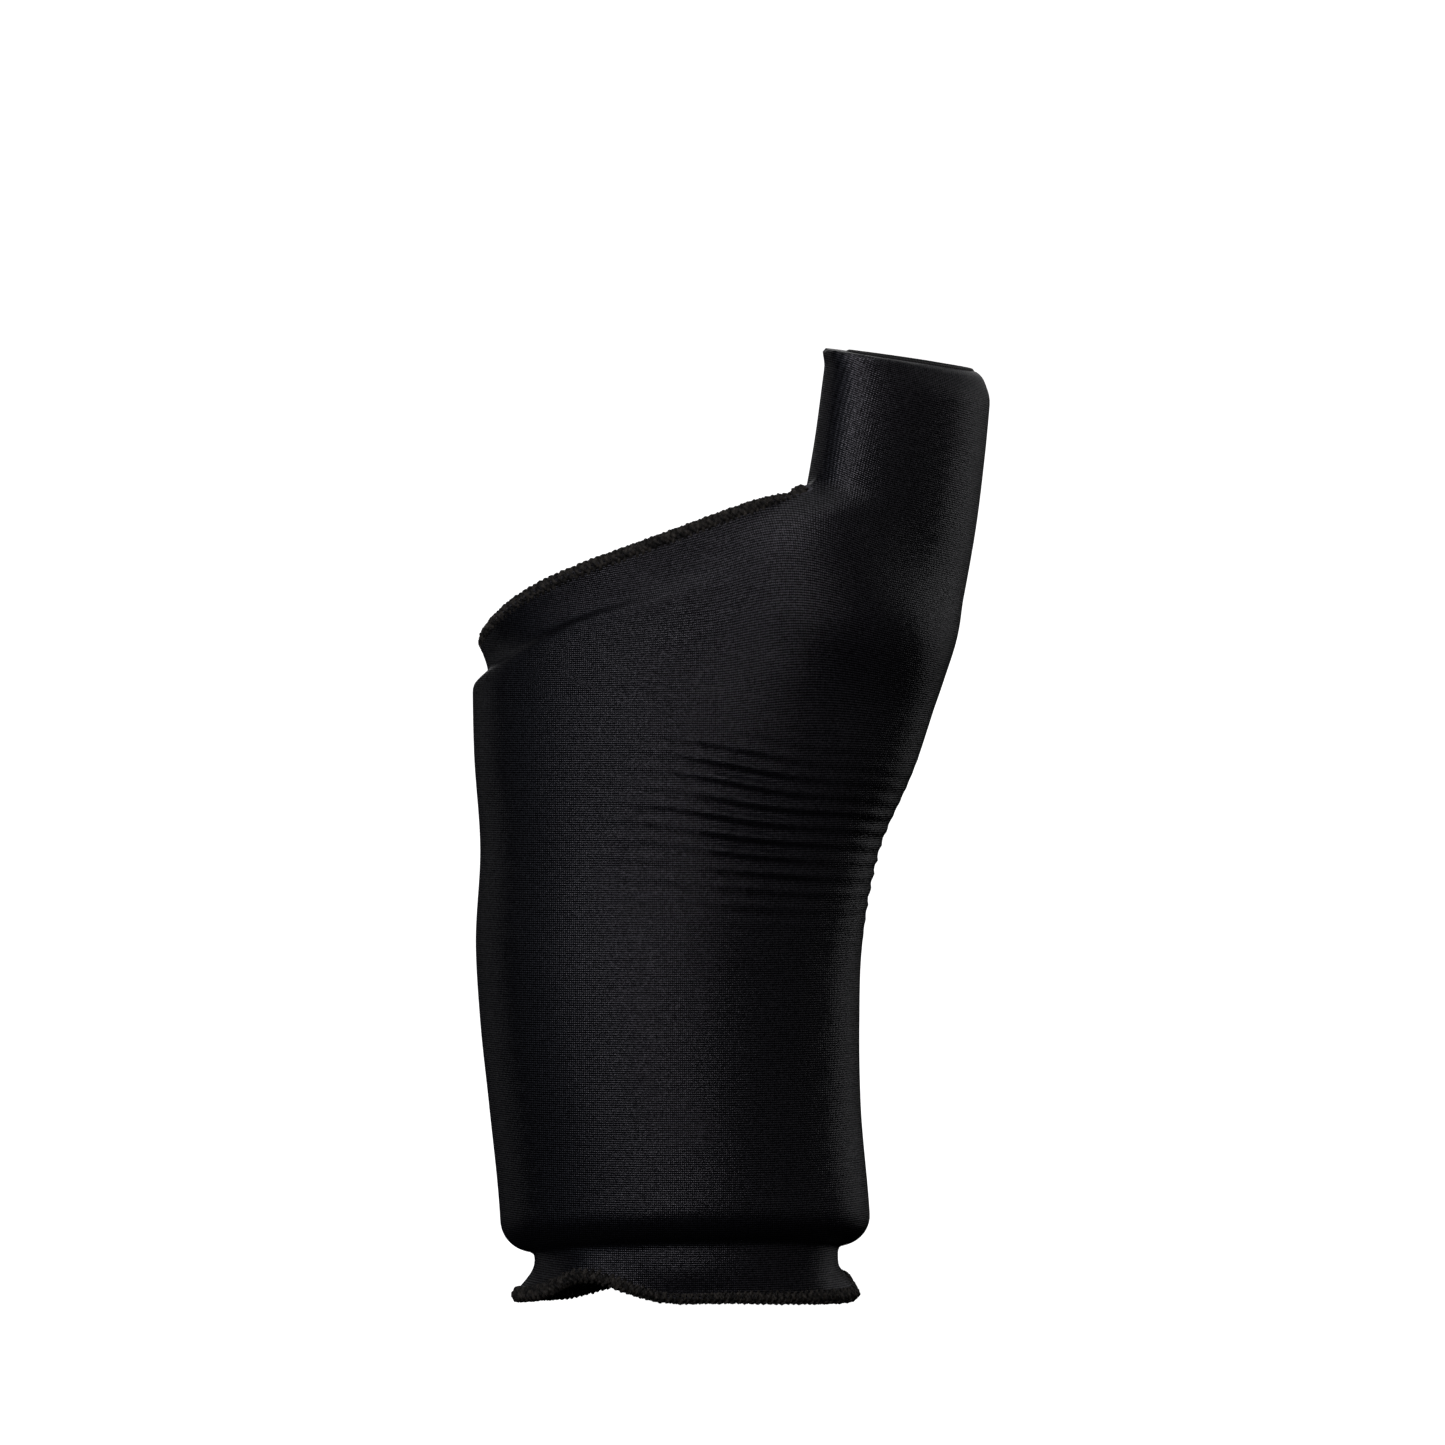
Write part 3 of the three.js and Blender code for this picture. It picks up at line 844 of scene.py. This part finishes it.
def wound_thread(loop, out, across, bead, turns, start, direction, seed):
    """One of the threads that wrap an edge, passing over and under those that wind the other way."""
    steps = 16
    count = turns * steps
    at = np.arange(count) / count * len(loop)
    low = np.floor(at).astype(int) % len(loop)
    mix = (at - np.floor(at))[:, None]

    def sample(values):
        return values[low] * (1 - mix) + values[(low + 1) % len(loop)] * mix

    rng = np.random.default_rng(seed)
    knots = rng.normal(0, 1, turns * 2)
    uneven = np.interp(np.arange(count), np.arange(turns * 2) * steps / 2, knots, period=count)
    turn = 2 * math.pi * np.arange(count) / steps
    angle = direction * (turn + 0.10 * uneven) + start
    weave = direction * EDGE_THREAD["weave"] * np.cos(EDGE_THREAD["strands"] * turn)
    radius = sample(bead[:, None])[:, 0] + weave + 0.05 * uneven
    round_edge = np.cos(angle)[:, None] * sample(out) + np.sin(angle)[:, None] * sample(across)
    path = sample(loop) + radius[:, None] * round_edge
    return tube(path, EDGE_THREAD["radius"] * (1 + 0.07 * uneven), 6, ups=sample(out))


def overlocked_edge(name, loop, distance, bead, material, seed):
    """The sewn edge of an opening: a soft core and threads braided round it."""
    along, out, across = loop_frame(loop, distance)
    parts = [tube(loop, bead, 10, ups=out)]
    length = np.linalg.norm(np.roll(loop, -1, 0) - loop, axis=1).sum()
    turns = int(round(length / EDGE_THREAD["pitch"]))
    for strand in range(EDGE_THREAD["strands"]):
        start = 2 * math.pi * strand / EDGE_THREAD["strands"]
        for direction in (1, -1):
            own_seed = seed + 2 * strand + direction
            parts.append(wound_thread(loop, out, across, bead, turns, start, direction, own_seed))
    return join_tubes(name, parts, material)


def on_surface(points, distance):
    for _ in range(4):
        slope = gradient(distance, points)
        points = points - slope * (distance(points.T) / np.maximum((slope**2).sum(1), 0.2))[:, None]
    return points


def sewn_seam(name, line, half_width, height, material):
    """A flat raised seam with a zigzag thread over it."""
    normal = gradient(cover_distance, line)
    normal /= np.linalg.norm(normal, axis=1)[:, None]
    along = np.gradient(line, axis=0)
    along /= np.linalg.norm(along, axis=1)[:, None]
    across = np.cross(normal, along)
    steps = np.linspace(-1, 1, 9)
    rows = []
    for s in steps:
        place = on_surface(line + across * half_width * s, cover_distance)
        rise = height * (1 - s**4) ** 0.5 - 0.12
        rows.append(place + normal * rise)
    top = np.stack(rows, axis=1)
    under = top[:, ::-1] - normal[:, None] * (height + 0.1)
    ring = np.concatenate([top, under], axis=1)
    count, sides = ring.shape[:2]
    faces = []
    for i in range(count - 1):
        for j in range(sides):
            k = (j + 1) % sides
            faces.append([i * sides + j, i * sides + k, (i + 1) * sides + k, (i + 1) * sides + j])
    faces.append(list(range(sides)))
    faces.append([(count - 1) * sides + k for k in range(sides)][::-1])
    band = (ring.reshape(-1, 3), faces, ring.reshape(-1, 3)[:, 2] * 1.5)
    tubes = [band]
    length = np.arange(len(line)) * SEAM_STEP
    for shift in (0.0, 0.5):
        phase = (length / 1.3 + shift) % 1.0
        swing = (4 * np.abs(phase - 0.5) - 1) * 0.82
        path = line + across * (half_width * swing)[:, None] + normal * (height + 0.02)
        tubes.append(tube(path, 0.17, 6, closed=False, ups=normal))
    return join_tubes(name, tubes, material)


def matched_loops(outer, inner, count):
    """Two loops round the same opening with the same number of points, side by side."""
    outer = even_loop(outer, count, 2)
    inner = even_loop(inner, count, 2)
    quarter = count // 4
    start = np.argmin(np.linalg.norm(inner - outer[0], axis=1))
    inner = np.roll(inner, -start, 0)
    ahead = np.linalg.norm(inner[quarter] - outer[quarter])
    if np.linalg.norm(inner[-quarter] - outer[quarter]) < ahead:
        inner = np.roll(inner[::-1], 1, 0)
    return outer, inner


def edge_tape(name, outer, inner, material):
    """A tape that closes the edge between the cover and the lining."""
    count = len(outer)
    columns = np.linspace(0, 1, 5)
    rows = [outer * (1 - t) + inner * t for t in columns]
    points = np.stack(rows, axis=1).reshape(-1, 3)
    width = len(columns)
    faces = []
    for i in range(count):
        k = (i + 1) % count
        for j in range(width - 1):
            faces.append([i * width + j, k * width + j, k * width + j + 1, i * width + j + 1])
    piece = new_object(name, points, faces, material)
    paint_fabric(piece, points, cover_distance)
    thicken(piece, 0.3)
    return piece


# ---- Building ----------------------------------------------------------------------------------


def palm_section(z):
    """Middle and half sizes of the arm's section on its palm side."""
    little, thumb_side, back, palm = at_height(ARM_CURVES, z)
    return (little + thumb_side) / 2, 0.0, (thumb_side - little) / 2, palm


def thumb_section(z):
    """Middle and half sizes of the thumb's section."""
    return at_height(THUMB_CURVES, z)


def seam_line(seam, section):
    """A line up one tube at the seam's angle, on the face of the cover."""
    z = np.arange(seam["low"], seam["high"], SEAM_STEP)
    middle_x, middle_y, half_x, half_y = section(z)
    x = middle_x + half_x * math.cos(seam["angle"])
    y = middle_y + half_y * math.sin(seam["angle"])
    return on_surface(np.stack([x, y, z], axis=1), cover_distance)


def make_seam(name, seam, section):
    line = seam_line(seam, section)
    return sewn_seam(name, line, seam["half_width"], seam["height"], MATERIALS["seam_thread"])


def opening_loops(layers, part, middle, count):
    """The edges of the cover and of the lining round one opening, point for point."""
    loops = [loop_near(layer[part][1], layer[part][2], middle) for layer in layers]
    return matched_loops(loops[0], loops[1], count)


def middle_line(loops, rise, count, smoothing):
    """The line midway between the two fabrics' edges, raised and smoothed."""
    return even_loop((loops[0] + loops[1]) / 2 + [0, 0, rise], count, smoothing)


def make_wrist_edge(loops):
    line = middle_line(loops, WRIST_CORD["rise"], ARM_LOOP, 3)
    core = np.full(ARM_LOOP, WRIST_CORD["core"])
    return overlocked_edge("wrist_edge_threads", line, arm_distance, core, MATERIALS["edge_thread"], 21)


def make_hand_edge(loops):
    line = middle_line(loops, HAND_CORD["rise"], ARM_LOOP, 16)
    near_web = smooth((line[:, 0] - HAND_CORD["x"]) / HAND_CORD["reach"])
    core = HAND_CORD["core"] - HAND_CORD["finer"] * near_web
    return overlocked_edge("hand_edge_threads", line, arm_distance, core, MATERIALS["edge_thread"], 31)


def make_hem(loops):
    line = middle_line(loops, 0.0, THUMB_LOOP, 3)
    return join_tubes("thumb_hem_roll", [tube(line, HEM_RADIUS, 10)], MATERIALS["seam_thread"])


def make_layers():
    """The cover and the lining, each as a sleeve piece and a thumb piece with their points and faces."""
    cover = layer_pieces(
        ("sleeve_cover", "thumb_cover"),
        cover_distance,
        cover_cut,
        COVER_BOX,
        COVER_GRID,
        MATERIALS["knit"],
        False,
    )
    lining = layer_pieces(
        ("sleeve_lining", "thumb_lining"),
        lining_distance,
        lining_cut,
        COVER_BOX,
        LINING_GRID,
        MATERIALS["brushed"],
        True,
    )
    return cover, lining


def build_sleeve():
    """Every piece of the sleeve, by name."""
    layers = make_layers()
    wrist = opening_loops(layers, 0, WRIST_MIDDLE, ARM_LOOP)
    hand = opening_loops(layers, 0, HAND_MIDDLE, ARM_LOOP)
    thumb = opening_loops(layers, 1, THUMB_MIDDLE, THUMB_LOOP)
    made = [part[0] for layer in layers for part in layer]
    made.append(edge_tape("wrist_edge_tape", wrist[0], wrist[1], MATERIALS["brushed"]))
    made.append(edge_tape("hand_edge_tape", hand[0], hand[1], MATERIALS["brushed"]))
    made += [make_wrist_edge(wrist), make_hand_edge(hand), make_hem(thumb)]
    made += [make_pad(name, low, high, MATERIALS["foam"]) for name, low, high in PADS]
    made.append(make_seam("closing_seam_stitches", ARM_SEAM, palm_section))
    made.append(make_seam("thumb_seam_stitches", THUMB_SEAM, thumb_section))
    return {piece.name: piece for piece in made}


# ---- Joints and declarations -------------------------------------------------------------------

WRIST_BENDING = (
    "sleeve_cover",
    "sleeve_lining",
    "forearm_padding",
    "hand_padding",
    "closing_seam_stitches",
)
THUMB_BENDING = ("thumb_cover", "thumb_lining", "thumb_padding", "thumb_seam_stitches")

# The body that each stiff piece rides on.
RIDING = {
    "wrist_edge_threads": "forearm",
    "wrist_edge_tape": "forearm",
    "hand_edge_threads": "hand",
    "hand_edge_tape": "hand",
    "thumb_hem_roll": "thumb",
}

# The CAD nodes that each piece stands for.
REPLACED = {
    "sleeve_cover": ("outer_cover", "wrist_cuff", "hand_band"),
    "thumb_cover": ("outer_cover",),
    "sleeve_lining": ("inner_lining",),
    "thumb_lining": ("inner_lining",),
    "forearm_padding": ("forearm_pad",),
    "hand_padding": ("hand_pad",),
    "thumb_padding": ("thumb_pad",),
    "wrist_edge_threads": ("wrist_edge_stitching",),
    "wrist_edge_tape": ("wrist_cuff",),
    "hand_edge_threads": ("hand_edge_stitching",),
    "hand_edge_tape": ("hand_band",),
    "thumb_hem_roll": ("thumb_hem",),
    "closing_seam_stitches": ("closing_seam",),
    "thumb_seam_stitches": ("thumb_seam",),
}


def declare(pieces):
    """Hangs each stiff piece on the body it rides on, bakes the bending pieces in place and hides the CAD
    nodes that the pieces stand for.
    """
    for name in WRIST_BENDING:
        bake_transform(pieces[name])
    for name in THUMB_BENDING:
        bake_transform(pieces[name])
    for name, body in RIDING.items():
        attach(pieces[name], body)
    for name, nodes in REPLACED.items():
        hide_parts(*nodes)


# ---- Studio ------------------------------------------------------------------------------------

AIM = (0.0067, 0.0, 0.1075)
DISTANCE = 1.2
VIEW_HEIGHT = 0.2676
SENSOR = 36.0

WHITE = (1, 1, 1)

# Soft boxes: name, place, size, power and colour.
LIGHTS = [
    ("key_front", (-0.34, -1.42, 0.72), (0.38, 0.9), 9.3, (1, 0.96, 0.985)),
    ("fill_front", (-1.15, -1.05, 0.35), (1.2, 1.2), 2.1, (0.78, 0.87, 1)),
    ("fill_right", (1.3, -0.8, 0.3), (1.0, 1.2), 1.1, (1, 0.96, 0.94)),
    ("rim_right", (1.05, 0.75, 0.35), (0.35, 1.3), 1.5, WHITE),
    ("rim_left", (-1.05, 0.7, 0.35), (0.35, 1.3), 0.6, WHITE),
    ("top", (0.1, -0.1, 1.5), (1.0, 1.0), 3.0, WHITE),
    ("back", (0.0, 1.5, 0.9), (1.4, 1.0), 3.0, WHITE),
]


def add_camera():
    data = bpy.data.cameras.new("camera")
    data.sensor_width = SENSOR
    data.lens = SENSOR * DISTANCE / VIEW_HEIGHT
    data.clip_end = 20
    camera = bpy.data.objects.new("camera", data)
    camera.location = (AIM[0], AIM[1] - DISTANCE, AIM[2])
    camera.rotation_euler = (math.pi / 2, 0, 0)
    bpy.context.scene.collection.objects.link(camera)
    bpy.context.scene.camera = camera


def add_light(name, place, size, power, colour):
    """A soft box that faces the sleeve."""
    data = bpy.data.lights.new(name, "AREA")
    data.color = colour
    data.shape = "RECTANGLE"
    data.size, data.size_y = size
    data.energy = power
    light = bpy.data.objects.new(name, data)
    light.location = place
    light.rotation_euler = (Vector(AIM) - Vector(place)).to_track_quat("-Z", "Y").to_euler()
    bpy.context.scene.collection.objects.link(light)


def add_floor(material):
    """A pale floor that curves up behind into a wall."""
    bend, floor_end, wall_top, level = 0.8, 1.2, 3.2, -0.0014
    profile = [(-3.0, level), (floor_end, level)]
    for k in range(1, 17):
        turn = math.pi / 2 * k / 16
        profile.append((floor_end + bend * math.sin(turn), level + bend * (1 - math.cos(turn))))
    profile.append((floor_end + bend, wall_top))
    points = [(x / MM, y / MM, z / MM) for x in (-3.0, 3.0) for y, z in profile]
    row = len(profile)
    faces = [[i, i + row, i + row + 1, i + 1] for i in range(row - 1)]
    floor = new_object("floor", points, faces, material)
    floor.visible_diffuse = False
    floor.visible_glossy = False


def light_world():
    """White behind the floor, seen by the camera and lighting nothing."""
    world = bpy.data.worlds.new("studio")
    world.use_nodes = True
    world.node_tree.nodes["Background"].inputs["Color"].default_value = (1, 1, 1, 1)
    world.node_tree.nodes["Background"].inputs["Strength"].default_value = 1.05
    world.cycles_visibility.diffuse = False
    world.cycles_visibility.glossy = False
    bpy.context.scene.world = world
    bpy.context.scene.view_settings.view_transform = "Standard"


MATERIALS = {
    "knit": knit_fabric("knit_fabric", (0.0012, 0.0012, 0.0016, 1), (0.0105, 0.0108, 0.0140, 1)),
    "brushed": brushed_lining("brushed_lining"),
    "edge_thread": thread_yarn("edge_thread", (0.0005, 0.0004, 0.0004, 1), (0.045, 0.0400, 0.0340, 1)),
    "seam_thread": thread_yarn("seam_thread", (0.001, 0.001, 0.0014, 1), (0.009, 0.009, 0.011, 1)),
    "foam": foam_padding("foam_padding"),
}

declare(build_sleeve())
add_camera()
add_floor(pale_board("pale_board"))
for light in LIGHTS:
    add_light(*light)
light_world()
